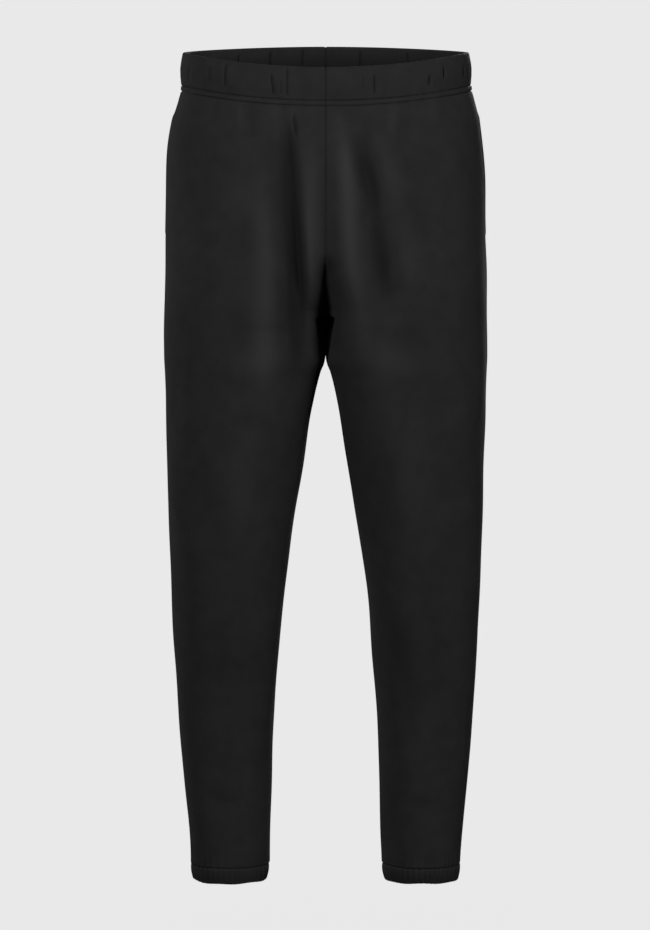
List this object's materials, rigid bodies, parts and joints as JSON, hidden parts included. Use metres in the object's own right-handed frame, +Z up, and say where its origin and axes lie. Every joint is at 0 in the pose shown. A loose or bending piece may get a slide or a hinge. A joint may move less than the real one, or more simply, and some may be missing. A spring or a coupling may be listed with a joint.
{
  "type": "jogger sweatpants",
  "caption": "Plain dark fleece jogger sweatpants, filled out as if worn, with an elastic waistband, side pocket mouths, a full crotch and tapered legs gathered at the ankles.",
  "frame": {"origin": "middle of the waist, halfway up the waistband at the sides, where the wearer holds the trousers up", "axes": "+Z up along the body, the front faces -Y, the wearer's left is +X"},
  "size_m": [0.3904, 0.255, 1.0082],
  "materials": {
    "fleece": "brushed cotton fleece, near black, matt with a faint nap",
    "band": "the same fleece folded over elastic, softly gathered",
    "casing": "the same fleece gathered over thin elastic",
    "facing": "single layer of the same fleece"
  },
  "bodies": {
    "root": {"front_left": "fleece", "front_right": "fleece", "back_left": "fleece", "back_right": "fleece", "waistband_left": "band", "waistband_right": "band", "ankle_casing_left": "casing", "ankle_casing_right": "casing", "pocket_facing_left": "facing", "pocket_facing_right": "facing"}
  },
  "joints": []
}
